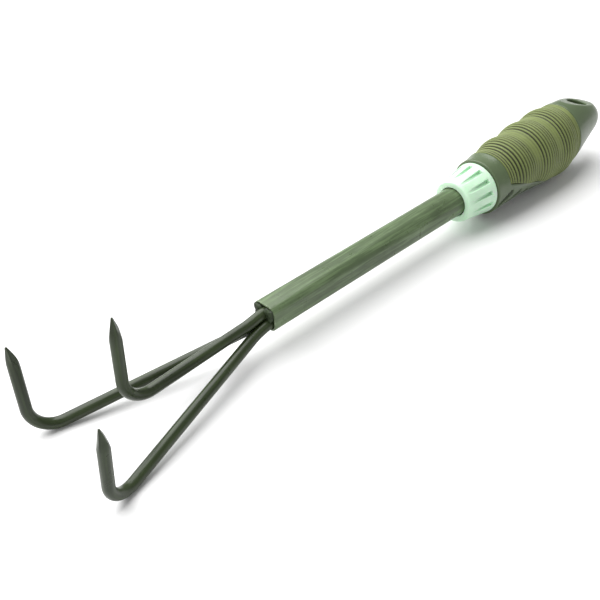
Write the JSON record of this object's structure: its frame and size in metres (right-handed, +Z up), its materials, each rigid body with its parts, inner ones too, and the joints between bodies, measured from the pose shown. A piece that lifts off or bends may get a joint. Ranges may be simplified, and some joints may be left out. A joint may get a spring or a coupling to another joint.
{
  "type": "hand cultivator",
  "caption": "Hand cultivator: hooked steel tines welded into a pressed shank tube, a fluted collar and a contoured plastic handle with a soft ribbed grip.",
  "frame": {"origin": "middle of the footprint, on the surface that the tool lies on with its tine points up", "axes": "+X along the shank from the tines to the handle, +Z up towards the tine points, Y across the tines"},
  "size_m": [0.3802, 0.0708, 0.0623],
  "materials": {
    "tine_paint": "satin olive green paint on round steel rod",
    "tube_paint": "satin olive green paint on drawn steel tube",
    "weld_paint": "rough weld metal under the same paint",
    "collar_mint": "semi-gloss mint moulded plastic",
    "handle_green": "satin grey-green moulded plastic",
    "grip_olive": "matte olive soft moulding with fine ring grooves"
  },
  "bodies": {
    "root": {"tine_left": "tine_paint", "tine_centre": "tine_paint", "tine_right": "tine_paint", "shank_tube": "tube_paint", "weld_left": "weld_paint", "weld_right": "weld_paint", "collar": "collar_mint", "handle_core": "handle_green", "grip_sleeve": "grip_olive"}
  },
  "joints": []
}
